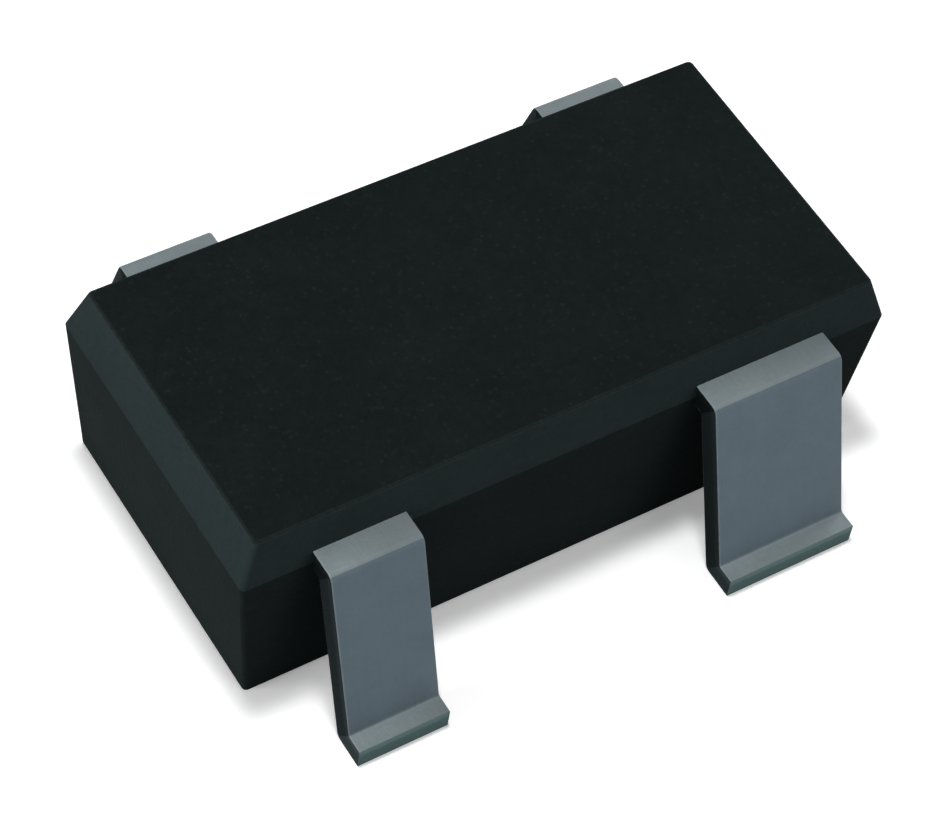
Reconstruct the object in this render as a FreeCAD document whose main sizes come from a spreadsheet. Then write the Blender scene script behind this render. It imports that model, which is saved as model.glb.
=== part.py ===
import FreeCAD, Part
import math
import os
import Sketcher

from FreeCAD import Placement, Rotation, Vector

# A four-lead RF transistor: a moulded body on a formed lead frame, with the die and its
# bond wires sealed inside. The frame lies above the middle of the body, so the die hangs
# under it. Origin on the seating plane below the middle of the body, X along the body,
# front and the wide lead towards -Y, Z up.

# Driving dimensions in millimetres, angles in degrees
SIZES = {
    # Moulded body, measured at the parting line where it is widest
    "body_length": 2.90,
    "body_width": 1.40,
    "lower_height": 0.765,
    "upper_height": 0.20,
    "standoff": 0.015,
    # Draft of the mould, as how far each face stands back from the parting line
    "top_inset_ends": 0.07,
    "top_inset_sides": 0.05,
    "bottom_inset_ends": 0.075,
    "bottom_inset_sides": 0.03,
    "corner_radius": 0.02,
    "edge_radius": 0.012,
    # Leads outside the body
    "sheet_thickness": 0.10,
    "lead_pitch": 1.90,
    "narrow_width": 0.40,
    "wide_width": 0.60,
    "shoulder_reach": 0.12,
    "lean_angle": 18.7,
    "foot_length": 0.08,
    "bend_outer_radius": 0.035,
    "bend_inner_radius": 0.015,
    # Lead frame inside the body
    "side_cover": 0.14,
    "bar_width": 0.17,
    "frame_gap": 0.10,
    "pad_reach": 0.32,
    "lock_shoulder": 0.06,
    "lock_hole_diameter": 0.16,
    # Die and its adhesive
    "die_side": 0.32,
    "die_thickness": 0.15,
    "die_setback": 0.08,
    "attach_thickness": 0.012,
    "attach_margin": 0.02,
    # Bond wires
    "wire_diameter": 0.025,
    "ball_diameter": 0.07,
    "ball_height": 0.012,
    "collar_height": 0.012,
    "loop_depth": 0.13,
    "loop_kink": 0.05,
    "stitch_diameter": 0.06,
    "stitch_thickness": 0.008,
    "stitch_setback": 0.08,
    # Bond pads on the die, from its centre
    "base_pad_x": 0.09,
    "base_pad_y": 0.10,
    "emitter_pad_y": 0.09,
    "emitter_pad_x": 0.01,
    "emitter_pad_pitch": 0.10,
}

doc = FreeCAD.newDocument("rf_transistor")
sheet = doc.addObject("Spreadsheet::Sheet", "Sizes")
for row, (name, value) in enumerate(SIZES.items(), 1):
    sheet.set(f"A{row}", name)
    sheet.set(f"B{row}", str(value))
    sheet.setAlias(f"B{row}", name)
doc.recompute()

# Heights of the parting line and of the sheet that lies across it
parting_z = "(Sizes.standoff + Sizes.lower_height)"
sheet_top = f"({parting_z} + Sizes.sheet_thickness / 2)"
sheet_under = f"({parting_z} - Sizes.sheet_thickness / 2)"

# Distances of the leads from the middle plane, out from the moulding to the toe
wall = "(Sizes.body_width / 2)"
root = f"({wall} - Sizes.side_cover)"
shoulder = f"({wall} + Sizes.shoulder_reach)"
foot_crease = f"({shoulder} + ({sheet_top} - Sizes.sheet_thickness) * tan(Sizes.lean_angle))"
toe = f"({foot_crease} + Sizes.foot_length)"
mitre = "(Sizes.sheet_thickness * tan((90 - Sizes.lean_angle) / 2))"
under_crease = f"({shoulder} - {mitre})"
heel = f"({foot_crease} - {mitre})"

# Edges of the frame's cut pattern
lead_edge = "((Sizes.lead_pitch + Sizes.narrow_width) / 2)"
frame_end = f"({lead_edge} + Sizes.lock_shoulder)"
wide_inner = f"({lead_edge} - Sizes.wide_width)"
narrow_inner = f"({lead_edge} - Sizes.narrow_width)"
bar_inner = f"({root} - Sizes.bar_width)"
bar_middle = f"({root} - Sizes.bar_width / 2)"
pad_half = f"({bar_inner} - Sizes.frame_gap)"
block_end = "(Sizes.pad_reach + Sizes.frame_gap)"
half_gap = "(Sizes.frame_gap / 2)"

# The die lies near the free edge of its pad, so that the base wire stays short
die_x = "(-Sizes.pad_reach + Sizes.die_setback + Sizes.die_side / 2)"
die_drop = "(Sizes.attach_thickness + Sizes.die_thickness)"
die_face = f"({sheet_under} - {die_drop})"


def origin_plane(body, role):
    """The body's own plane or axis of that role."""
    return next(item for item in body.Origin.OriginFeatures if item.Role == role)


def sketch_on(body, name, role, offset):
    """An empty sketch on one of the body's planes, moved along its normal."""
    sketch = body.newObject("Sketcher::SketchObject", name)
    sketch.AttachmentSupport = (origin_plane(body, role), "")
    sketch.MapMode = "FlatFace"
    sketch.setExpression("AttachmentOffset.Base.z", offset)
    return sketch


def drive(sketch, expression, *constraint):
    """A dimension of the sketch that follows an expression."""
    index = sketch.addConstraint(Sketcher.Constraint(*constraint))
    sketch.setExpression(f"Constraints[{index}]", expression)


def pin_point(sketch, geometry, point, across, up):
    """Place a point by its distances from the middle of the sketch."""
    drive(sketch, across, "DistanceX", -1, 1, geometry, point, 1.0)
    drive(sketch, up, "DistanceY", -1, 1, geometry, point, 1.0)


def polygon(body, name, role, offset, corners):
    """A closed outline of straight edges with every corner dimensioned."""
    sketch = sketch_on(body, name, role, offset)
    count = len(corners)
    turns = [2 * math.pi * number / count for number in range(count)]
    rough = [Vector(math.cos(turn), math.sin(turn), 0) for turn in turns]
    for number in range(count):
        sketch.addGeometry(Part.LineSegment(rough[number], rough[(number + 1) % count]))
    for number, (across, up) in enumerate(corners):
        following = (number + 1) % count
        sketch.addConstraint(Sketcher.Constraint("Coincident", number, 2, following, 1))
        pin_point(sketch, number, 1, across, up)
    return sketch


def rounded_rectangle(body, name, offset, half_x, half_y, radius):
    """A level rectangle with round corners about the middle of the body."""
    sketch = sketch_on(body, name, "XY_Plane", offset)
    rough, inner, bend = 1.0, 0.9, 0.1
    sides = [
        ((-inner, -rough), (inner, -rough)),
        ((rough, -inner), (rough, inner)),
        ((inner, rough), (-inner, rough)),
        ((-rough, inner), (-rough, -inner)),
    ]
    centres = [(inner, -inner), (inner, inner), (-inner, inner), (-inner, -inner)]
    for start, end in sides:
        sketch.addGeometry(Part.LineSegment(Vector(*start, 0), Vector(*end, 0)))
    for number, centre in enumerate(centres):
        circle = Part.Circle(Vector(*centre, 0), Vector(0, 0, 1), bend)
        turn = (number - 1) * math.pi / 2
        sketch.addGeometry(Part.ArcOfCircle(circle, turn, turn + math.pi / 2))
    for number in range(4):
        arc = number + 4
        sketch.addConstraint(Sketcher.Constraint("Tangent", number, 2, arc, 1))
        sketch.addConstraint(Sketcher.Constraint("Tangent", arc, 2, (number + 1) % 4, 1))
        direction = ("Horizontal", "Vertical")[number % 2]
        sketch.addConstraint(Sketcher.Constraint(direction, number))
    for arc in (5, 6, 7):
        sketch.addConstraint(Sketcher.Constraint("Equal", 4, arc))
    drive(sketch, radius, "Radius", 4, bend)
    drive(sketch, f"-{half_y}", "DistanceY", -1, 1, 0, 1, -rough)
    drive(sketch, half_x, "DistanceX", -1, 1, 1, 1, rough)
    drive(sketch, half_y, "DistanceY", -1, 1, 2, 1, rough)
    drive(sketch, f"-{half_x}", "DistanceX", -1, 1, 3, 1, -rough)
    return sketch


def disc(body, name, offset, across, up, diameter):
    """A circle in a level plane."""
    sketch = sketch_on(body, name, "XY_Plane", offset)
    sketch.addGeometry(Part.Circle(Vector(0, 0, 0), Vector(0, 0, 1), 0.1))
    pin_point(sketch, 0, 3, across, up)
    drive(sketch, diameter, "Diameter", 0, 0.2)
    return sketch


def pad(body, name, profile, length):
    feature = body.newObject("PartDesign::Pad", name)
    feature.Profile = profile
    feature.setExpression("Length", length)
    return feature


def fillet(body, name, base, edges, radius):
    feature = body.newObject("PartDesign::Fillet", name)
    feature.Base = (base, edges)
    feature.setExpression("Radius", radius)
    return feature


def level_edges(shape, height):
    """Names of the edges that lie flat at a height."""
    names = []
    for number, edge in enumerate(shape.Edges, 1):
        if max(abs(end.Z - height) for end in edge.Vertexes) < Part.Precision.confusion():
            names.append(f"Edge{number}")
    return names


def drafted_blank(name):
    """The outside of the moulding: two drafted halves that meet at the parting line."""
    body = doc.addObject("PartDesign::Body", name)
    half_x = "(Sizes.body_length / 2)"
    corner = "Sizes.corner_radius"
    levels = {
        "top": (f"({parting_z} + Sizes.upper_height)", "top_inset_ends", "top_inset_sides"),
        "bottom": ("Sizes.standoff", "bottom_inset_ends", "bottom_inset_sides"),
    }
    rims = []
    for level, (height, end_inset, side_inset) in levels.items():
        label = f"{level}_parting_outline"
        widest = rounded_rectangle(body, label, parting_z, half_x, wall, corner)
        face_x = f"({half_x} - Sizes.{end_inset})"
        face_y = f"({wall} - Sizes.{side_inset})"
        face = rounded_rectangle(body, f"{level}_outline", height, face_x, face_y, corner)
        half = body.newObject("PartDesign::AdditiveLoft", f"{level}_half")
        half.Profile = widest
        half.Sections = [face]
        half.Ruled = True
        rims.append(face)
    doc.recompute()
    rounded = []
    for face in rims:
        rounded += level_edges(half.Shape, face.Placement.Base.z)
    fillet(body, "mould_edges", half, rounded, "Sizes.edge_radius")
    return body


def strip_profile(side):
    """Corners of a formed lead seen from its edge: along the top to the toe and back below."""
    corners = {
        "root": (root, sheet_top),
        "shoulder": (shoulder, sheet_top),
        "foot_crease": (foot_crease, "Sizes.sheet_thickness"),
        "toe": (toe, "Sizes.sheet_thickness"),
        "toe_sole": (toe, "0"),
        "heel": (heel, "0"),
        "under_crease": (under_crease, sheet_under),
        "under_root": (root, sheet_under),
    }
    return {corner: (f"{side} * {across}", up) for corner, (across, up) in corners.items()}


def bend_edges(shape, sketch, corners, wanted):
    """Names of the edges that run across the strip from the wanted corners of its profile."""
    order = list(corners)
    points = [sketch.Geometry[order.index(corner)].StartPoint for corner in wanted]
    names = []
    for number, edge in enumerate(shape.Edges, 1):
        for point in points:
            offsets = [math.hypot(end.Y - point.x, end.Z - point.y) for end in edge.Vertexes]
            if max(offsets) < Part.Precision.confusion():
                names.append(f"Edge{number}")
    return names


def formed_lead(name, outline, side, edge_x, width, hole=None):
    """One lead: its flat part inside the moulding and the strip bent down to the board."""
    body = doc.addObject("PartDesign::Body", name)
    plan = polygon(body, f"{name}_plan", "XY_Plane", sheet_under, outline)
    pad(body, f"{name}_frame", plan, "Sizes.sheet_thickness")
    if hole:
        circle = disc(body, f"{name}_hole_circle", sheet_top, *hole, "Sizes.lock_hole_diameter")
        lock = body.newObject("PartDesign::Pocket", f"{name}_lock_hole")
        lock.Profile = circle
        lock.setExpression("Length", "Sizes.sheet_thickness")
    corners = strip_profile(side)
    profile = polygon(body, f"{name}_side", "YZ_Plane", edge_x, corners.values())
    strip = pad(body, f"{name}_strip", profile, width)
    doc.recompute()
    outer = bend_edges(strip.Shape, profile, corners, ["shoulder", "heel"])
    outer_bends = fillet(body, f"{name}_outer_bends", strip, outer, "Sizes.bend_outer_radius")
    doc.recompute()
    inner = bend_edges(outer_bends.Shape, profile, corners, ["foot_crease", "under_crease"])
    fillet(body, f"{name}_inner_bends", outer_bends, inner, "Sizes.bend_inner_radius")
    return body


def block(name, size_x, size_y, size_z, x, y, z):
    """A box whose lowest corner is at x, y, z."""
    box = doc.addObject("Part::Box", name)
    box.setExpression("Length", size_x)
    box.setExpression("Width", size_y)
    box.setExpression("Height", size_z)
    box.setExpression("Placement.Base.x", x)
    box.setExpression("Placement.Base.y", y)
    box.setExpression("Placement.Base.z", z)
    return box


def loop_path(body, name, reach):
    """Centre line of a bond wire: down from its ball, over two kinks and up to the lead."""
    path = sketch_on(body, name, "XZ_Plane", "0")
    points = [
        ("0", "0"),
        ("0", "-(Sizes.loop_depth - Sizes.loop_kink / 2)"),
        ("Sizes.loop_kink", "-Sizes.loop_depth"),
        (reach, f"({die_drop} + Sizes.wire_diameter / 2)"),
    ]
    rough = [Vector(step, step * (step - len(points)), 0) for step in range(len(points))]
    for start, end in zip(rough, rough[1:]):
        path.addGeometry(Part.LineSegment(start, end))
    for number in (0, 1):
        path.addConstraint(Sketcher.Constraint("Coincident", number, 2, number + 1, 1))
    pin_point(path, 0, 1, *points[0])
    for number, point in enumerate(points[1:]):
        pin_point(path, number, 2, *point)
    return path


def bond_wire(name, x, y, turn, reach):
    """A gold wire from a ball on the die's face to a flattened stitch on a lead."""
    body = doc.addObject("PartDesign::Body", name)
    wire_radius = "(Sizes.wire_diameter / 2)"
    ball_radius = "(Sizes.ball_diameter / 2)"
    collar_end = "-(Sizes.ball_height + Sizes.collar_height)"
    half_section = [
        ("0", "0"),
        (ball_radius, "0"),
        (ball_radius, "-Sizes.ball_height"),
        (wire_radius, collar_end),
        ("0", collar_end),
    ]
    ball_profile = polygon(body, f"{name}_ball_profile", "XZ_Plane", "0", half_section)
    ball = body.newObject("PartDesign::Revolution", f"{name}_ball")
    ball.Profile = ball_profile
    ball.ReferenceAxis = (ball_profile, ["V_Axis"])
    ball.Angle = 360
    section = disc(body, f"{name}_section", "0", "0", "0", "Sizes.wire_diameter")
    path = loop_path(body, f"{name}_path", reach)
    loop = body.newObject("PartDesign::AdditivePipe", f"{name}_loop")
    loop.Profile = section
    loop.Spine = (path, ["Edge1", "Edge2", "Edge3"])
    loop.Transition = "Right corner"
    spot = disc(body, f"{name}_stitch_circle", die_drop, reach, "0", "Sizes.stitch_diameter")
    stitch = pad(body, f"{name}_stitch", spot, "Sizes.stitch_thickness")
    stitch.Reversed = True
    cutter = disc(body, f"{name}_trim_circle", die_drop, reach, "0", "Sizes.stitch_diameter * 2")
    trim = body.newObject("PartDesign::Pocket", f"{name}_trim")
    trim.Profile = cutter
    trim.Reversed = True
    trim.setExpression("Length", "Sizes.wire_diameter * 2")
    body.Placement = Placement(Vector(0, 0, 0), Rotation(Vector(0, 0, 1), turn))
    body.setExpression("Placement.Base.x", x)
    body.setExpression("Placement.Base.y", y)
    body.setExpression("Placement.Base.z", die_face)
    return body


FRONT = "-1"
BACK = "1"

# Wide collector lead with the pad under which the die hangs
collector = formed_lead(
    "collector_lead",
    [
        ("-Sizes.pad_reach", pad_half),
        ("-Sizes.pad_reach", f"-{pad_half}"),
        (wide_inner, f"-{pad_half}"),
        (wide_inner, f"-{root}"),
        (frame_end, f"-{root}"),
        (frame_end, pad_half),
    ],
    FRONT,
    wide_inner,
    "Sizes.wide_width",
    (f"(({wide_inner} + {lead_edge}) / 2)", "0"),
)

# Front emitter lead with a bar along the front of the die pad
emitter_front = formed_lead(
    "emitter_lead_front",
    [
        (f"-{frame_end}", f"-{root}"),
        (f"({wide_inner} - Sizes.frame_gap)", f"-{root}"),
        (f"({wide_inner} - Sizes.frame_gap)", f"-{bar_inner}"),
        (f"-{block_end}", f"-{bar_inner}"),
        (f"-{block_end}", f"-{half_gap}"),
        (f"-{frame_end}", f"-{half_gap}"),
    ],
    FRONT,
    f"-{lead_edge}",
    "Sizes.narrow_width",
    ("(-Sizes.lead_pitch / 2)", f"-({root} + {half_gap}) / 2"),
)

# Base lead, a plain block beside the die pad
base = formed_lead(
    "base_lead",
    [
        (f"-{frame_end}", half_gap),
        (f"-{block_end}", half_gap),
        (f"-{block_end}", root),
        (f"-{frame_end}", root),
    ],
    BACK,
    f"-{lead_edge}",
    "Sizes.narrow_width",
    ("(-Sizes.lead_pitch / 2)", f"({root} + {half_gap}) / 2"),
)

# Back emitter lead with a bar along the back of the die pad
emitter_back = formed_lead(
    "emitter_lead_back",
    [
        ("-Sizes.pad_reach", bar_inner),
        (frame_end, bar_inner),
        (frame_end, root),
        ("-Sizes.pad_reach", root),
    ],
    BACK,
    narrow_inner,
    "Sizes.narrow_width",
)

# Adhesive and die, one under the other on the underside of the pad
attach_side = "(Sizes.die_side + 2 * Sizes.attach_margin)"
attach = block(
    "die_attach",
    attach_side,
    attach_side,
    "Sizes.attach_thickness",
    f"{die_x} - {attach_side} / 2",
    f"-{attach_side} / 2",
    f"{sheet_under} - Sizes.attach_thickness",
)
die = block(
    "silicon_die",
    "Sizes.die_side",
    "Sizes.die_side",
    "Sizes.die_thickness",
    f"{die_x} - Sizes.die_side / 2",
    "-Sizes.die_side / 2",
    die_face,
)

# One wire to the base lead and two to each emitter bar
base_reach = f"({die_x} - Sizes.base_pad_x + {block_end} + Sizes.stitch_setback)"
emitter_reach = f"({bar_middle} - Sizes.emitter_pad_y)"
wires = [
    bond_wire(
        "base_bond_wire", f"{die_x} - Sizes.base_pad_x", "Sizes.base_pad_y", 180, base_reach
    )
]
for place, sign, turn in (("front", "-", -90), ("back", "", 90)):
    for number in (1, 2):
        step = f"Sizes.emitter_pad_x + {number - 1} * Sizes.emitter_pad_pitch"
        wires.append(
            bond_wire(
                f"emitter_bond_wire_{place}_{number}",
                f"{die_x} + {step}",
                f"{sign}Sizes.emitter_pad_y",
                turn,
                emitter_reach,
            )
        )

# The moulding fills all the space round the pieces that it holds
inner_pieces = [collector, emitter_front, base, emitter_back, attach, die] + wires
blank = drafted_blank("moulding_blank")
held = doc.addObject("Part::MultiFuse", "held_pieces")
held.Shapes = inner_pieces
moulding = doc.addObject("Part::Cut", "moulded_body")
moulding.Base = blank
moulding.Tool = held
doc.recompute()

pieces = [moulding] + inner_pieces
for item in doc.Objects:
    if "Invalid" in item.State or "Error" in item.State:
        raise ValueError(f"{item.Label} failed: {item.State}")
for piece in pieces:
    if piece.Shape.isNull() or not piece.Shape.isValid():
        raise ValueError(f"{piece.Label} has no valid shape")

os.makedirs("parts", exist_ok=True)
for piece in pieces:
    piece.Shape.exportStep(f"parts/{piece.Label}.step")
    print(piece.Label, len(piece.Shape.Solids), round(piece.Shape.Volume, 6))
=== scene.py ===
import math

import bmesh
import bpy
from mathutils import Matrix, Vector


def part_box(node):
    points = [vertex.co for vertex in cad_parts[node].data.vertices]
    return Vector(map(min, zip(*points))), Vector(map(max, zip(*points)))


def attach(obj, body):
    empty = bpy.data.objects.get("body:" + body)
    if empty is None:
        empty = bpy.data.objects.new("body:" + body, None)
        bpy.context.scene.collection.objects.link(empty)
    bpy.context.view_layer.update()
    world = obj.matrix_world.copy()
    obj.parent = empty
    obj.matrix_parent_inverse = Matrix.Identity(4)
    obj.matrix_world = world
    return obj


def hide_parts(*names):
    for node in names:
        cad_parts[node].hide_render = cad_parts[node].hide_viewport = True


# A four-lead RF transistor on plain white paper: a black moulded body on plated, formed leads.
# Shapes are drawn in millimetres and scaled once, when they become pieces.
MM = 0.001

# Points that lie closer than this are the same point
TINY = 1e-5

# Moulded body: the insets are how far its drafted faces stand back from the parting line
PARTING = 0.78
TOP_INSET_ENDS = 0.07
TOP_INSET_SIDES = 0.05
BOTTOM_INSET_ENDS = 0.075
BOTTOM_INSET_SIDES = 0.03
CORNER_RADIUS = 0.02
EDGE_RADIUS = 0.012
PARTING_BREAK = 0.003

# Lead frame, as it is cut and bent: its plates lie in the body, and its strips come out of them
SHEET = 0.10
LEAD_PITCH = 1.90
NARROW = 0.40
WIDE = 0.60
SHOULDER_REACH = 0.12
LEAN = math.radians(18.7)
BEND_TURN = math.pi / 2 - LEAN
OUTER_BEND = 0.035
INNER_BEND = 0.015
SIDE_COVER = 0.14
BAR = 0.17
GAP = 0.10
PAD_REACH = 0.32
LOCK_SHOULDER = 0.06
LOCK_HOLE = 0.16
ROLLOVER = 0.006
BURR = 0.003

# Sides that a lead leaves by
FRONT = -1
BACK = 1

# A face is square to an axis if this much of its unit normal points along it, and it is a
# side of the body if less than the second number points up
SQUARE_ON = 0.95
SIDEWAYS = 0.5

# Faces that meet at less than this angle are shaded as one smooth surface
SMOOTH_UP_TO = math.radians(28)

# Materials of a lead, by the number of their slot
PLATED = 0
SHEARED = 1
TOE = 2

# Painted shade on a lead's sheared sides: the share of their colour at the foot that they keep,
# darkest at the shoulder
SIDE_PAINTED_SHADES = {"shoulder": 0.18, "leg": 0.45, "foot": 1.0}

# Sheared faces, in depth from the top of the sheet: where the burnished band ends, where the
# torn metal starts, and how much higher both lie in places
BURNISHED_TO = 0.030
TORN_FROM = 0.046
RAGGED = 0.012

# Colours of the finishes; a pair is the two tones that uneven patches blend
COMPOUND_TONES = ((0.0058, 0.0087, 0.0087), (0.0090, 0.0130, 0.0130))
# Painted light: the drafted faces above the parting line are paler than the rest of the compound
PAINTED_LIT_DRAFT_TONES = ((0.0152, 0.0235, 0.0243), (0.0200, 0.0297, 0.0309))
COMPOUND_FILLER = (0.05, 0.058, 0.058)
COMPOUND_RUBBED = (0.030, 0.039, 0.039)
TIN_TONES = ((0.135, 0.163, 0.168), (0.164, 0.197, 0.206))
# Painted shade: the sloping legs of the leads are darker and bluer than the flat tin
TIN_LEG_PAINTED_SHADE_TONES = ((0.077, 0.104, 0.121), (0.095, 0.125, 0.148))
TIN_RUBBED = (0.20, 0.23, 0.24)
# Painted shade: the sheared sides are coloured far darker than the plating and the cut toe;
# their burnished and torn bands and rubbed edges are real
SHEARED_PAINTED_SHADE_COLOURS = {
    "burnished": (0.033, 0.044, 0.048),
    "torn": (0.024, 0.033, 0.035),
    "rubbed": (0.088, 0.110, 0.114),
}
TOE_COLOURS = {
    "burnished": (0.086, 0.140, 0.140),
    "torn": (0.068, 0.112, 0.112),
    "rubbed": (0.16, 0.21, 0.21),
}
ADHESIVE_TONES = ((0.38, 0.38, 0.37), (0.48, 0.48, 0.47))
SILVER_FLAKES = (0.75, 0.75, 0.74)
SILICON_TONES = ((0.070, 0.075, 0.095), (0.085, 0.09, 0.11))
GOLD_TONES = ((0.78, 0.55, 0.18), (0.86, 0.64, 0.24))

# Values between which most of a noise, and of the height of grains, lies
NOISE_RANGE = (0.3, 0.7)
GRAIN_RANGE = (0.2, 1.2)

# Grains: how far a dome reaches towards the next and how high it stands, how many slow swells
# there are to a grain, and the range of the draw that picks the grains that stand out
DOME_REACH = 0.9
DOME_HEIGHT = 0.5
SWELLS = 0.4
PICKED = (0.9, 1.0)

# How much the compound's tone follows its grains, how much of the filler shows, how much the
# tin's tone follows its rolling lines, and how high those lines and torn metal stand
MOTTLE = 0.55
FILLER_SHOWS = 0.14
ROLLING = 0.45
ROLLING_HEIGHT = 1.4
TORN_HEIGHT = 1.5

# Camera, fitted to the corners of the object in the picture
CAMERA_AZIMUTH = -39.47
CAMERA_ELEVATION = 52.15
CAMERA_ROLL = 10.22
CAMERA_DISTANCE = 13.175
CAMERA_AIM_ACROSS = -0.033
CAMERA_AIM_UP = -0.356
CAMERA_SEES_FROM = 0.1
FOCAL_PIXELS = 3392.9
PICTURE_WIDTH = 945
SENSOR = 36.0

# Lamps: azimuth and elevation in degrees, side in millimetres, and the level of light on a
# surface that faces the lamp, where 1 shows a colour as it is written
LAMP_DISTANCE = 24.0
LAMPS = {
    "low_window_left": (-92, 14, 12.0, 0.80),
    "high_window_back": (-128, 83, 3.5, 0.58),
    "low_window_right": (116, 14, 12.0, 0.50),
    "front_fill": (22, 14, 14.0, 0.33),
}
ROOM_LEVEL = 0.15

# Paper floor: the share of light that it throws back on the object, the glow that it is seen
# with at the object, and the distances over which that glow rises to full white
FLOOR_BOUNCE = 0.4
FLOOR_GLOW = 0.24
FLOOR_WHITE_FROM = 5.0
FLOOR_WHITE_TO = 14.0
FLOOR_SIDE = 400.0


# Shapes


def verts_of(made):
    """The points among what an operator made."""
    return [item for item in made["geom"] if isinstance(item, bmesh.types.BMVert)]


def face_of(made):
    """The one face among what an operator made."""
    return next(item for item in made["geom"] if isinstance(item, bmesh.types.BMFace))


def each_once(items):
    """The items without repeats, in the order in which they first come."""
    return list(dict.fromkeys(items))


def pull(bm, faces):
    """Extrude faces with their edges, so that no face is left behind inside."""
    edges = each_once(edge for face in faces for edge in face.edges)
    corners = each_once(corner for face in faces for corner in face.verts)
    return bmesh.ops.extrude_face_region(bm, geom=[*faces, *edges, *corners])


def rounded(bm, edges, offset, segments):
    """Bevel edges to an arc and give back the new faces."""
    return bmesh.ops.bevel(
        bm,
        geom=edges,
        offset=offset,
        offset_type="OFFSET",
        affect="EDGES",
        segments=segments,
        profile=0.5,
        material=-1,
        clamp_overlap=False,
    )["faces"]


def corner_offset(radius, turn):
    """How far from a corner that turns this much an arc of this radius starts."""
    return radius * math.tan(turn / 2)


def level_edges(bm, height):
    """Edges that lie level at a height."""
    return [edge for edge in bm.edges if all(abs(v.co.z - height) < TINY for v in edge.verts)]


def spread(corners, half_x, half_y, height):
    """Move each corner to a level rectangle, and keep it in its own quarter."""
    for corner in corners:
        across = math.copysign(half_x, corner.co.x)
        deep = math.copysign(half_y, corner.co.y)
        corner.co = (across, deep, height)


def mark(faces, layer):
    """Mark faces for a finish to read."""
    for face in faces:
        face[layer] = 1.0


def moulding_blank(low, high):
    """Outside of the moulding, drafted both ways from the parting line."""
    bm = bmesh.new()
    corners = bmesh.ops.create_cube(bm, size=1.0)["verts"]
    bottom = [corner for corner in corners if corner.co.z < 0]
    widest = [corner for corner in corners if corner.co.z > 0]
    spread(bottom, high.x - BOTTOM_INSET_ENDS, high.y - BOTTOM_INSET_SIDES, low.z)
    spread(widest, high.x, high.y, PARTING)
    lid = [face for face in bm.faces if all(corner in widest for corner in face.verts)]
    top = verts_of(pull(bm, lid))
    spread(top, high.x - TOP_INSET_ENDS, high.y - TOP_INSET_SIDES, high.z)
    bm.normal_update()
    edge_wear = bm.faces.layers.float.new("edge_wear")
    upper_draft = bm.faces.layers.float.new("upper_draft")
    upright = [edge for edge in bm.edges if abs(edge.verts[0].co.z - edge.verts[1].co.z) > TINY]
    rounded(bm, upright, CORNER_RADIUS, segments=6)
    rims = level_edges(bm, high.z) + level_edges(bm, low.z)
    rim_turn = math.pi / 2 - math.atan(TOP_INSET_SIDES / (high.z - PARTING))
    rim_faces = rounded(bm, rims, corner_offset(EDGE_RADIUS, rim_turn), segments=4)
    line_faces = rounded(bm, level_edges(bm, PARTING), PARTING_BREAK, segments=2)
    bm.normal_update()
    above = [face for face in bm.faces if face.calc_center_median().z > PARTING + TINY]
    # The upper drafts are marked for the compound's painted light
    mark([face for face in above if face.normal.z < SIDEWAYS], upper_draft)
    mark([face for face in rim_faces + line_faces if face.is_valid], edge_wear)
    return bm


def lead_plate(outline, hole):
    """Flat part of a lead inside the moulding, cut from the sheet with its lock hole."""
    bm = bmesh.new()
    under = PARTING - SHEET / 2
    corners = [bm.verts.new((x, y, under)) for x, y in outline]
    edges = [bm.edges.new(pair) for pair in zip(corners, corners[1:] + corners[:1])]
    if hole:
        centre = Matrix.Translation((*hole, under))
        ring = bmesh.ops.create_circle(bm, segments=24, radius=LOCK_HOLE / 2, matrix=centre)
        edges += each_once(edge for vert in ring["verts"] for edge in vert.link_edges)
    bmesh.ops.triangle_fill(bm, use_beauty=True, edges=edges)
    bmesh.ops.translate(bm, vec=(0, 0, SHEET), verts=verts_of(pull(bm, bm.faces[:])))
    return bm


def strip_stations(half_width, reach):
    """Where a strip starts, where its edges are first broken, where it bends and where it ends.

    Each station has the depth and height of the strip's top, and those of its underside.
    """
    mitre = corner_offset(SHEET, BEND_TURN)
    top = PARTING + SHEET / 2
    under = PARTING - SHEET / 2
    root = half_width - SIDE_COVER
    grip = half_width - SIDE_COVER / 2
    shoulder = half_width + SHOULDER_REACH
    crease = shoulder + (top - SHEET) * math.tan(LEAN)
    return {
        "root": ((root, top), (root, under)),
        "grip": ((grip, top), (grip, under)),
        "shoulder": ((shoulder, top), (shoulder - mitre, under)),
        "crease": ((crease, SHEET), (crease - mitre, 0)),
        "toe": ((reach, SHEET), (reach, 0)),
    }


def edges_across(bm, side, points):
    """Edges that run across the strip through the given points of its bends."""
    found = []
    for edge in bm.edges:
        for y, z in points:
            if all(abs(v.co.y - side * y) < TINY and abs(v.co.z - z) < TINY for v in edge.verts):
                found.append(edge)
    return found


def along_strip(stations, y, z):
    """How far along the strip's top a point lies, and how deep in the sheet."""
    best = None
    run = 0.0
    line = [top for top, _ in stations.values()]
    for start, end in zip(line, line[1:]):
        step = Vector(end) - Vector(start)
        share = (Vector((y, z)) - Vector(start)).dot(step) / step.length_squared
        share = min(max(share, 0.0), 1.0)
        depth = (Vector((y, z)) - Vector(start) - share * step).length
        if best is None or depth < best[1]:
            best = (run + share * step.length, depth)
        run += step.length
    return best


def long_edges(bm, side, stations, upper):
    """The strip's long edges from its grip on, along its top or along its underside."""
    (grip, _), _ = stations["grip"]
    bm.normal_update()
    found = []
    for edge in bm.edges:
        start_y, end_y = sorted(side * vert.co.y for vert in edge.verts)
        tilts = sorted(abs(face.normal.x) for face in edge.link_faces)
        lengthways = start_y > grip - TINY and end_y - start_y > TINY
        if lengthways and tilts[0] < 1 - SQUARE_ON and tilts[1] > SQUARE_ON:
            middle = (edge.verts[0].co + edge.verts[1].co) / 2
            depth = along_strip(stations, side * middle.y, middle.z)[1]
            if (depth < SHEET / 2) == upper:
                found.append(edge)
    return found


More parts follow.
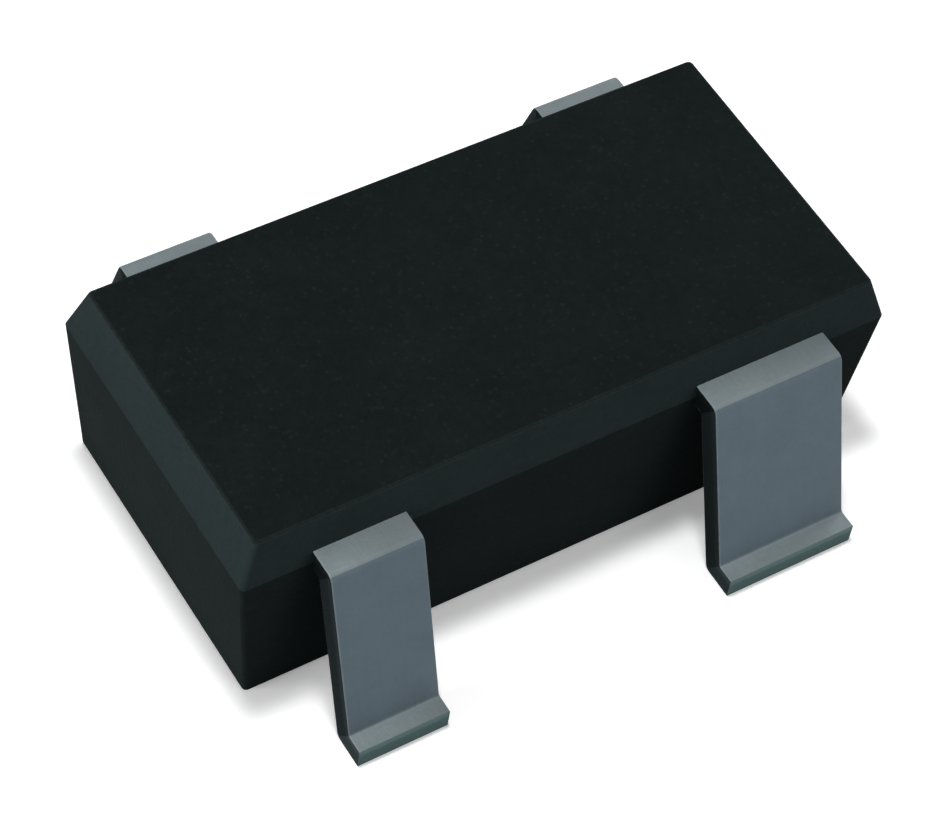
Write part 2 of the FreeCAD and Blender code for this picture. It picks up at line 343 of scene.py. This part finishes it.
def finish_strip(bm, side, stations):
    """Break the long edges, and say which faces are plated, sheared or cut at the toe."""
    edge_wear = bm.faces.layers.float.new("edge_wear")
    leg = bm.faces.layers.float.new("leg")
    side_painted_shade = bm.faces.layers.float.new("side_painted_shade")
    strip = bm.loops.layers.uv.new("strip")
    (reach, _), _ = stations["toe"]
    mark(rounded(bm, long_edges(bm, side, stations, True), ROLLOVER, segments=3), edge_wear)
    mark(rounded(bm, long_edges(bm, side, stations, False), BURR, segments=2), edge_wear)
    bm.normal_update()
    leg_start = along_strip(stations, *stations["shoulder"][0])[0]
    leg_end = along_strip(stations, *stations["crease"][0])[0]
    for face in bm.faces:
        middle = face.calc_center_median()
        run = along_strip(stations, side * middle.y, middle.z)[0]
        is_side = abs(face.normal.x) > SQUARE_ON
        is_toe = abs(face.normal.y) > SQUARE_ON and side * middle.y > reach - TINY
        face.material_index = SHEARED if is_side else TOE if is_toe else PLATED
        part = "shoulder" if run <= leg_start else "leg" if run < leg_end else "foot"
        # The leg mark also carries the plating's painted shade
        face[leg] = 1.0 if part == "leg" else 0.0
        # Painted shade on the sheared sides, by where the face lies along the lead
        face[side_painted_shade] = SIDE_PAINTED_SHADES[part]
        for loop in face.loops:
            point = loop.vert.co
            run, depth = along_strip(stations, side * point.y, point.z)
            if is_side:
                loop[strip].uv = (run * MM, depth * MM)
            elif is_toe:
                loop[strip].uv = (point.x * MM, (SHEET - point.z) * MM)
            else:
                loop[strip].uv = (run * MM, point.x * MM)


def strip_root(bm, side, depth, edges):
    """The face in a plate's edge that its strip is pulled out of."""
    for face in bm.faces:
        middle = face.calc_center_median()
        if abs(middle.y - side * depth) < TINY and edges[0] < middle.x < edges[1]:
            return face


def formed_lead(stations, plate, side, strip, hole):
    """One lead: its plate in the moulding, and a strip pulled out of it station by station."""
    bm = lead_plate(plate, hole)
    (root, _), _ = stations["root"]
    end = strip_root(bm, side, root, strip)
    for top, under in list(stations.values())[1:]:
        end = face_of(pull(bm, [end]))
        middle = end.calc_center_median().z
        for vert in end.verts:
            y, z = top if vert.co.z > middle else under
            vert.co = (vert.co.x, side * y, z)
    bmesh.ops.recalc_face_normals(bm, faces=bm.faces)
    shoulder, under_shoulder = stations["shoulder"]
    crease, under_crease = stations["crease"]
    outer_edges = edges_across(bm, side, [shoulder, under_crease])
    rounded(bm, outer_edges, corner_offset(OUTER_BEND, BEND_TURN), segments=8)
    inner_edges = edges_across(bm, side, [crease, under_shoulder])
    rounded(bm, inner_edges, corner_offset(INNER_BEND, BEND_TURN), segments=6)
    finish_strip(bm, side, stations)
    return bm


def lead_shapes(root):
    """Each lead: outline of its plate, side it leaves by, edges of its strip, lock hole."""
    lead_edge = (LEAD_PITCH + NARROW) / 2
    frame_end = lead_edge + LOCK_SHOULDER
    wide_inner = lead_edge - WIDE
    narrow_inner = lead_edge - NARROW
    bar_inner = root - BAR
    pad_half = bar_inner - GAP
    block_end = PAD_REACH + GAP
    half_gap = GAP / 2
    block_middle = (root + half_gap) / 2
    return {
        "collector_lead": {
            "plate": [
                (-PAD_REACH, pad_half),
                (-PAD_REACH, -pad_half),
                (wide_inner, -pad_half),
                (wide_inner, -root),
                (lead_edge, -root),
                (frame_end, -root),
                (frame_end, pad_half),
            ],
            "side": FRONT,
            "strip": (wide_inner, lead_edge),
            "hole": ((wide_inner + lead_edge) / 2, 0),
        },
        "emitter_lead_front": {
            "plate": [
                (-frame_end, -root),
                (-lead_edge, -root),
                (-narrow_inner, -root),
                (wide_inner - GAP, -root),
                (wide_inner - GAP, -bar_inner),
                (-block_end, -bar_inner),
                (-block_end, -half_gap),
                (-frame_end, -half_gap),
            ],
            "side": FRONT,
            "strip": (-lead_edge, -narrow_inner),
            "hole": (-LEAD_PITCH / 2, -block_middle),
        },
        "base_lead": {
            "plate": [
                (-frame_end, half_gap),
                (-block_end, half_gap),
                (-block_end, root),
                (-narrow_inner, root),
                (-lead_edge, root),
                (-frame_end, root),
            ],
            "side": BACK,
            "strip": (-lead_edge, -narrow_inner),
            "hole": (-LEAD_PITCH / 2, block_middle),
        },
        "emitter_lead_back": {
            "plate": [
                (-PAD_REACH, bar_inner),
                (frame_end, bar_inner),
                (frame_end, root),
                (lead_edge, root),
                (narrow_inner, root),
                (-PAD_REACH, root),
            ],
            "side": BACK,
            "strip": (narrow_inner, lead_edge),
            "hole": None,
        },
    }


def mesh_from(name, bm):
    """A mesh in metres with its faces turned outwards."""
    bmesh.ops.recalc_face_normals(bm, faces=bm.faces)
    bmesh.ops.scale(bm, vec=(MM, MM, MM), verts=bm.verts)
    mesh = bpy.data.meshes.new(name)
    bm.to_mesh(mesh)
    bm.free()
    return mesh


def merged(source, name):
    """A copy of a mesh in which points that lie together are one."""
    bm = bmesh.new()
    bm.from_mesh(source)
    bmesh.ops.remove_doubles(bm, verts=bm.verts, dist=TINY * MM)
    mesh = bpy.data.meshes.new(name)
    bm.to_mesh(mesh)
    bm.free()
    return mesh


def new_object(name, data):
    """An object at the origin, in the scene."""
    made = bpy.data.objects.new(name, data)
    bpy.context.scene.collection.objects.link(made)
    return made


def carved(blank, cutters):
    """Take from the blank each piece that it is moulded round."""
    for cutter in cutters:
        cut = blank.modifiers.new("seat", "BOOLEAN")
        cut.operation = "DIFFERENCE"
        cut.solver = "EXACT"
        cut.object = cutter
    depsgraph = bpy.context.evaluated_depsgraph_get()
    mesh = bpy.data.meshes.new_from_object(blank.evaluated_get(depsgraph))
    blank.modifiers.clear()
    blank.data = merged(mesh, blank.name)
    bpy.data.meshes.remove(mesh)


def shade(piece, materials):
    """Flat faces stay flat and bends turn smoothly between them."""
    mesh = piece.data
    for material in materials:
        mesh.materials.append(material)
    mesh.shade_smooth()
    mesh.set_sharp_from_angle(angle=SMOOTH_UP_TO)
    level = piece.modifiers.new("flat_faces", "WEIGHTED_NORMAL")
    level.mode = "FACE_AREA"
    level.keep_sharp = True


# Node tools


def feed(tree, socket, value):
    """Link an output to a socket, or set the number, vector or colour that the socket holds."""
    if isinstance(value, bpy.types.NodeSocket):
        tree.links.new(value, socket)
    elif socket.type == "RGBA":
        socket.default_value = (*value, 1)
    else:
        socket.default_value = value


def node(tree, kind, inputs=(), **settings):
    """A shader node with its settings made and its inputs fed."""
    made = tree.nodes.new(kind)
    for name, value in settings.items():
        setattr(made, name, value)
    for name, value in dict(inputs).items():
        feed(tree, made.inputs[name], value)
    return made


def maths(tree, operation, first, second, clamp=False):
    """One operation on two values."""
    inputs = {0: first, 1: second}
    return node(tree, "ShaderNodeMath", inputs, operation=operation, use_clamp=clamp).outputs[0]


def remap(tree, value, source, target=(0.0, 1.0)):
    """Stretch a value from its source range to its target range, and hold it there."""
    sockets = ("Value", "From Min", "From Max", "To Min", "To Max")
    inputs = dict(zip(sockets, (value, *source, *target)))
    return node(tree, "ShaderNodeMapRange", inputs).outputs[0]


def blend_value(tree, share, first, second):
    """A value between two; a Mix node's sockets go by number, because they share names."""
    inputs = {0: share, 2: first, 3: second}
    return node(tree, "ShaderNodeMix", inputs, data_type="FLOAT").outputs[0]


def blend_colour(tree, share, first, second):
    """A colour between two."""
    inputs = {0: share, 6: first, 7: second}
    return node(tree, "ShaderNodeMix", inputs, data_type="RGBA").outputs[2]


def noise(tree, place, count, detail=2.0, roughness=0.5):
    """Noise in three dimensions, from 0 to 1."""
    inputs = {"Vector": place, "Scale": count, "Detail": detail, "Roughness": roughness}
    return node(tree, "ShaderNodeTexNoise", inputs).outputs[0]


def stretched(tree, place, scale):
    """Coordinates multiplied along each axis."""
    return node(tree, "ShaderNodeMapping", {"Vector": place, "Scale": scale}).outputs[0]


def object_place(tree):
    """Coordinates in metres from the object's origin."""
    return node(tree, "ShaderNodeTexCoord").outputs["Object"]


def strip_place(tree):
    """Metres along a lead, and across it or down its sheared side."""
    return node(tree, "ShaderNodeUVMap", uv_map="strip").outputs[0]


def attribute(tree, name):
    """A mark that the mesh carries on its faces."""
    return node(tree, "ShaderNodeAttribute", attribute_name=name).outputs["Fac"]


def effect(name, inputs, outputs):
    """A node group whose inputs are vectors and numbers, and whose outputs are numbers."""
    tree = bpy.data.node_groups.new(name, "ShaderNodeTree")
    for label, value in inputs.items():
        kind = "NodeSocketVector" if isinstance(value, tuple) else "NodeSocketFloat"
        socket = tree.interface.new_socket(label, in_out="INPUT", socket_type=kind)
        socket.default_value = value
    for label in outputs:
        tree.interface.new_socket(label, in_out="OUTPUT", socket_type="NodeSocketFloat")
    return tree, tree.nodes.new("NodeGroupInput").outputs


def put_out(tree, **outputs):
    """Link values to the outputs of a node group."""
    end = tree.nodes.new("NodeGroupOutput")
    for label, value in outputs.items():
        tree.links.new(value, end.inputs[label])


def use_effect(tree, group, **inputs):
    """Place a node group in a material with values of its own."""
    return node(tree, "ShaderNodeGroup", inputs, node_tree=group).outputs


def new_material(name, metallic, specular):
    """A material, its node tree and its shader."""
    made = bpy.data.materials.new(name)
    made.use_nodes = True
    skin = made.node_tree.nodes["Principled BSDF"]
    skin.inputs["Metallic"].default_value = metallic
    skin.inputs["Specular IOR Level"].default_value = specular
    return made, made.node_tree, skin


def dress(tree, skin, colour, roughness, height, relief):
    """Feed a material's colour, roughness and relief in metres."""
    inputs = {"Strength": 1.0, "Distance": relief, "Height": height}
    bump = node(tree, "ShaderNodeBump", inputs)
    tree.links.new(colour, skin.inputs["Base Color"])
    tree.links.new(roughness, skin.inputs["Roughness"])
    tree.links.new(bump.outputs["Normal"], skin.inputs["Normal"])


# Effects that several finishes share; a count is how many of a thing there are in a metre


def grain_effect():
    """Small rounded grains of uneven height, with a few that stand out."""
    inputs = {"Place": (0, 0, 0), "Count": 60000.0}
    tree, given = effect("grain", inputs, ["Height", "Specks"])
    cell_inputs = {"Vector": given["Place"], "Scale": given["Count"]}
    cells = node(tree, "ShaderNodeTexVoronoi", cell_inputs).outputs
    swell = noise(tree, given["Place"], maths(tree, "MULTIPLY", given["Count"], SWELLS))
    domes = remap(tree, cells["Distance"], source=(0.0, DOME_REACH), target=(1.0, 0.0))
    height = maths(tree, "ADD", maths(tree, "MULTIPLY", domes, DOME_HEIGHT), swell)
    draw = node(tree, "ShaderNodeSeparateColor", {"Color": cells["Color"]}).outputs[0]
    picked = remap(tree, draw, PICKED)
    put_out(tree, Height=height, Specks=maths(tree, "MULTIPLY", picked, domes))
    return tree


def cloud_effect():
    """Slow uneven patches, from 0 to 1."""
    tree, given = effect("clouds", {"Place": (0, 0, 0), "Count": 4000.0}, ["Mask"])
    patches = noise(tree, given["Place"], given["Count"], detail=3.0, roughness=0.55)
    put_out(tree, Mask=remap(tree, patches, NOISE_RANGE))
    return tree


def wear_effect():
    """Where marked edges are rubbed, broken up so that the line isn't even."""
    inputs = {"Place": (0, 0, 0), "Count": 20000.0, "Amount": 0.5}
    tree, given = effect("edge_wear", inputs, ["Mask"])
    patches = noise(tree, given["Place"], given["Count"])
    uneven = remap(tree, patches, NOISE_RANGE, target=(0.45, 1.0))
    share = maths(tree, "MULTIPLY", attribute(tree, "edge_wear"), given["Amount"])
    put_out(tree, Mask=maths(tree, "MULTIPLY", share, uneven, clamp=True))
    return tree


def line_effect():
    """Fine drawn lines: as many in a metre, along each axis, as the stretch says."""
    inputs = {"Place": (0, 0, 0), "Stretch": (1, 1, 1)}
    tree, given = effect("drawn_lines", inputs, ["Height"])
    place = stretched(tree, given["Place"], given["Stretch"])
    put_out(tree, Height=noise(tree, place, count=1.0, detail=4.0, roughness=0.7))
    return tree


# Finishes


def compound_finish(effects):
    """Black epoxy moulding compound: matte, with fused filler just under the skin, and painted
    light that makes its upper drafted faces paler than the rest.
    """
    made, tree, skin = new_material("black_moulding_compound", metallic=0.0, specular=0.015)
    place = object_place(tree)
    grain = use_effect(tree, effects["grain"], Place=place, Count=70000.0)
    clouds = use_effect(tree, effects["clouds"], Place=place, Count=3500.0)["Mask"]
    wear = use_effect(tree, effects["wear"], Place=place, Count=45000.0, Amount=0.3)["Mask"]
    mottle = remap(tree, grain["Height"], source=(0.45, 1.0))
    tone = blend_value(tree, MOTTLE, clouds, mottle)
    plain = blend_colour(tree, tone, *COMPOUND_TONES)
    # Painted light: the faces marked as upper drafts get paler tones
    painted_lit = blend_colour(tree, tone, *PAINTED_LIT_DRAFT_TONES)
    moulded = blend_colour(tree, attribute(tree, "upper_draft"), plain, painted_lit)
    specks = maths(tree, "MULTIPLY", grain["Specks"], FILLER_SHOWS)
    filled = blend_colour(tree, specks, moulded, COMPOUND_FILLER)
    colour = blend_colour(tree, wear, filled, COMPOUND_RUBBED)
    roughness = remap(tree, grain["Height"], GRAIN_RANGE, target=(0.72, 0.84))
    dress(tree, skin, colour, roughness, grain["Height"], relief=1.6e-6)
    return made


def plating_finish(effects):
    """Matte tin on rolled copper: fine crystals over faint rolling lines, with painted shade
    that makes the sloping legs darker and bluer than the flat tin.
    """
    made, tree, skin = new_material("matte_tin_plating", metallic=0.6, specular=0.2)
    place = object_place(tree)
    crystals = use_effect(tree, effects["grain"], Place=place, Count=110000.0)["Height"]
    clouds = use_effect(tree, effects["clouds"], Place=place, Count=6000.0)["Mask"]
    wear = use_effect(tree, effects["wear"], Place=place, Count=60000.0, Amount=0.35)["Mask"]
    rolling = {"Place": strip_place(tree), "Stretch": (900, 60000, 1)}
    lines = use_effect(tree, effects["lines"], **rolling)["Height"]
    tone = blend_value(tree, ROLLING, clouds, remap(tree, lines, NOISE_RANGE))
    flat = blend_colour(tree, tone, *TIN_TONES)
    # Painted shade: faces marked as leg get the darker tones
    leg = blend_colour(tree, tone, *TIN_LEG_PAINTED_SHADE_TONES)
    formed = blend_colour(tree, attribute(tree, "leg"), flat, leg)
    colour = blend_colour(tree, wear, formed, TIN_RUBBED)
    height = maths(tree, "ADD", crystals, maths(tree, "MULTIPLY", lines, ROLLING_HEIGHT))
    roughness = remap(tree, height, source=(0.4, 2.0), target=(0.57, 0.73))
    dress(tree, skin, colour, roughness, height, relief=0.7e-6)
    return made


def sheared_finish(effects, name, colours, metallic, specular):
    """A sheared face of the sheet: a burnished band near the top, torn metal below it, and
    painted shade that darkens a face by where it lies along the lead; a toe lies at the foot and
    keeps its colour.
    """
    made, tree, skin = new_material(name, metallic, specular)
    place = object_place(tree)
    strip = strip_place(tree)
    depth = node(tree, "ShaderNodeSeparateXYZ", {"Vector": strip}).outputs["Y"]
    same_down = stretched(tree, strip, (1, 0, 1))
    ragged = use_effect(tree, effects["clouds"], Place=same_down, Count=30000.0)["Mask"]
    edge = maths(tree, "ADD", depth, maths(tree, "MULTIPLY", ragged, RAGGED * MM))
    torn = remap(tree, edge, source=(BURNISHED_TO * MM, TORN_FROM * MM))
    scoring = {"Place": strip, "Stretch": (70000, 3000, 1)}
    streaks = use_effect(tree, effects["lines"], **scoring)["Height"]
    grains = use_effect(tree, effects["grain"], Place=place, Count=90000.0)["Height"]
    wear = use_effect(tree, effects["wear"], Place=place, Count=60000.0, Amount=0.35)["Mask"]
    base = blend_colour(tree, torn, colours["burnished"], colours["torn"])
    worn = blend_colour(tree, wear, base, colours["rubbed"])
    # Painted shade: sheared sides are blended towards black, most at the shoulder, less on the
    # leg, not at the foot
    colour = blend_colour(tree, attribute(tree, "side_painted_shade"), (0, 0, 0), worn)
    height = blend_value(tree, torn, streaks, maths(tree, "MULTIPLY", grains, TORN_HEIGHT))
    roughness = remap(tree, torn, source=(0.0, 1.0), target=(0.62, 0.8))
    dress(tree, skin, colour, roughness, height, relief=0.5e-6)
    return made


def adhesive_finish(effects):
    """Cured silver-filled adhesive, with flakes that catch the light."""
    made, tree, skin = new_material("silver_filled_adhesive", metallic=0.35, specular=0.4)
    place = object_place(tree)
    flakes = use_effect(tree, effects["grain"], Place=place, Count=160000.0)
    clouds = use_effect(tree, effects["clouds"], Place=place, Count=20000.0)["Mask"]
    resin = blend_colour(tree, clouds, *ADHESIVE_TONES)
    colour = blend_colour(tree, flakes["Specks"], resin, SILVER_FLAKES)
    roughness = remap(tree, flakes["Height"], GRAIN_RANGE, target=(0.45, 0.7))
    dress(tree, skin, colour, roughness, flakes["Height"], relief=0.4e-6)
    return made


def silicon_finish(effects):
    """Silicon: polished faces, and sides with the lines of the dicing saw."""
    made, tree, skin = new_material("diced_silicon", metallic=0.35, specular=0.6)
    place = object_place(tree)
    level = {"Place": place, "Stretch": (3000, 3000, 90000)}
    saw = use_effect(tree, effects["lines"], **level)["Height"]
    clouds = use_effect(tree, effects["clouds"], Place=place, Count=12000.0)["Mask"]
    colour = blend_colour(tree, clouds, *SILICON_TONES)
    roughness = remap(tree, saw, NOISE_RANGE, target=(0.16, 0.34))
    dress(tree, skin, colour, roughness, saw, relief=0.3e-6)
    return made


def gold_finish(effects):
    """Gold wire, with faint lines from the die that it was drawn through."""
    made, tree, skin = new_material("drawn_gold", metallic=1.0, specular=0.5)
    place = object_place(tree)
    lengthways = {"Place": place, "Stretch": (150000, 9000, 150000)}
    lines = use_effect(tree, effects["lines"], **lengthways)["Height"]
    clouds = use_effect(tree, effects["clouds"], Place=place, Count=30000.0)["Mask"]
    colour = blend_colour(tree, clouds, *GOLD_TONES)
    roughness = remap(tree, lines, NOISE_RANGE, target=(0.18, 0.32))
    dress(tree, skin, colour, roughness, lines, relief=0.15e-6)
    return made


# Stage


def shown_ray(tree):
    """1 for what the camera sees itself, in a reflection or through glass, else 0."""
    path = node(tree, "ShaderNodeLightPath").outputs
    direct = maths(tree, "MAXIMUM", path["Is Camera Ray"], path["Is Glossy Ray"])
    return maths(tree, "MAXIMUM", direct, path["Is Transmission Ray"])


def paper_floor():
    """White paper under the feet; it keeps the soft shadow of the object."""
    bm = bmesh.new()
    bmesh.ops.create_grid(bm, x_segments=1, y_segments=1, size=FLOOR_SIDE / 2)
    floor = new_object("paper_floor", mesh_from("paper_floor", bm))
    made = bpy.data.materials.new("white_paper")
    made.use_nodes = True
    tree = made.node_tree
    tree.nodes.clear()
    shown = shown_ray(tree)
    bounce = (FLOOR_BOUNCE, FLOOR_BOUNCE, FLOOR_BOUNCE)
    colour = blend_colour(tree, shown, bounce, (1, 1, 1))
    paper = node(tree, "ShaderNodeBsdfDiffuse", {"Color": colour})
    middle = {0: object_place(tree)}
    away = node(tree, "ShaderNodeVectorMath", middle, operation="LENGTH").outputs["Value"]
    rise = (FLOOR_WHITE_FROM * MM, FLOOR_WHITE_TO * MM)
    level = remap(tree, away, rise, target=(FLOOR_GLOW, 1.0))
    glow = node(tree, "ShaderNodeEmission", {"Strength": maths(tree, "MULTIPLY", shown, level)})
    total = node(tree, "ShaderNodeAddShader", {0: paper.outputs[0], 1: glow.outputs[0]})
    node(tree, "ShaderNodeOutputMaterial", {"Surface": total.outputs[0]})
    floor.data.materials.append(made)


def studio_room():
    """Even light from all round; white where the camera or a reflection sees it."""
    world = bpy.data.worlds.new("studio_room")
    bpy.context.scene.world = world
    world.use_nodes = True
    tree = world.node_tree
    room = tree.nodes["Background"]
    level = remap(tree, shown_ray(tree), source=(0.0, 1.0), target=(ROOM_LEVEL, 1.0))
    feed(tree, room.inputs["Strength"], level)
    feed(tree, room.inputs["Color"], (1, 1, 1))


def direction(azimuth, elevation):
    """Towards a place round the object, in degrees: azimuth 0 is its front, 90 its right end."""
    turn = math.radians(azimuth)
    lift = math.radians(elevation)
    level = math.cos(lift)
    return Vector((math.sin(turn) * level, -math.cos(turn) * level, math.sin(lift)))


def studio_lamps():
    """Square soft lamps that face the object."""
    for name, (azimuth, elevation, side, level) in LAMPS.items():
        lamp = bpy.data.lights.new(name, "AREA")
        distance = LAMP_DISTANCE * MM
        lamp.size = side * MM
        lamp.energy = level * (math.pi * distance) ** 2
        away = direction(azimuth, elevation)
        holder = new_object(name, lamp)
        holder.location = away * distance
        holder.rotation_mode = "QUATERNION"
        holder.rotation_quaternion = (-away).to_track_quat("-Z", "Y")


def picture_camera():
    """A camera where the picture was seen from, turned a little about its line of sight."""
    back = direction(CAMERA_AZIMUTH, CAMERA_ELEVATION)
    azimuth = math.radians(CAMERA_AZIMUTH)
    roll = math.radians(CAMERA_ROLL)
    level_right = Vector((math.cos(azimuth), math.sin(azimuth), 0))
    right = math.cos(roll) * level_right + math.sin(roll) * back.cross(level_right)
    up = back.cross(right)
    aim = Vector((0, 0, PARTING)) + CAMERA_AIM_ACROSS * right + CAMERA_AIM_UP * up
    data = bpy.data.cameras.new("picture_camera")
    data.sensor_width = SENSOR
    data.lens = FOCAL_PIXELS / PICTURE_WIDTH * SENSOR
    data.clip_start = CAMERA_SEES_FROM * MM
    data.clip_end = FLOOR_SIDE * MM
    camera = new_object("picture_camera", data)
    camera.location = (aim + CAMERA_DISTANCE * back) * MM
    camera.rotation_mode = "QUATERNION"
    camera.rotation_quaternion = Matrix((right, up, back)).transposed().to_quaternion()
    bpy.context.scene.camera = camera


# The pieces, their finishes and their scene


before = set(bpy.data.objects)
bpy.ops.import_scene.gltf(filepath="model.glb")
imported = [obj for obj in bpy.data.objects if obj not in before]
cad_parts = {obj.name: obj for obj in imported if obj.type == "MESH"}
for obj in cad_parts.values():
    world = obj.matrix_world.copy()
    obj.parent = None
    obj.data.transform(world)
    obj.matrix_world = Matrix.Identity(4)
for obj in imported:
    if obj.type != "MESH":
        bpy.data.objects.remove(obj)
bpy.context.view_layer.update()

low, high = (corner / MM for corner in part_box("moulded_body"))
reach = -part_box("collector_lead")[0].y / MM
stations = strip_stations(high.y, reach)
(root, _), _ = stations["root"]

effects = {
    "grain": grain_effect(),
    "clouds": cloud_effect(),
    "wear": wear_effect(),
    "lines": line_effect(),
}
compound = compound_finish(effects)
# In the order of the numbers PLATED, SHEARED and TOE
lead_finishes = [
    plating_finish(effects),
    # Painted shade: the sheared sides get dark colours
    sheared_finish(effects, "sheared_edge", SHEARED_PAINTED_SHADE_COLOURS, metallic=0.0, specular=0.01),
    sheared_finish(effects, "cut_toe", TOE_COLOURS, metallic=0.5, specular=0.05),
]
inner_finishes = {
    "die_attach": adhesive_finish(effects),
    "silicon_die": silicon_finish(effects),
    "bond_wire": gold_finish(effects),
}

leads = []
for node_name, shape in lead_shapes(root).items():
    lead = mesh_from(node_name, formed_lead(stations, **shape))
    piece = new_object(f"plated_{node_name}", lead)
    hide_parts(node_name)
    leads.append(piece)

inner_nodes = []
for node_name, node_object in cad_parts.items():
    for words, finish in inner_finishes.items():
        if words in node_name:
            for slot in node_object.material_slots:
                slot.material = finish
            inner_nodes.append(node_object)

moulding = new_object("epoxy_moulding", mesh_from("epoxy_moulding", moulding_blank(low, high)))
cutters = [new_object("cutter", merged(inner.data, "cutter")) for inner in inner_nodes]
carved(moulding, leads + cutters)
for cutter in cutters:
    bpy.data.objects.remove(cutter)
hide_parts("moulded_body")

shade(moulding, [compound])
for piece in leads:
    shade(piece, lead_finishes)
for piece in [moulding] + leads:
    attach(piece, "root")

paper_floor()
studio_room()
studio_lamps()
picture_camera()
bpy.context.scene.view_settings.view_transform = "Standard"
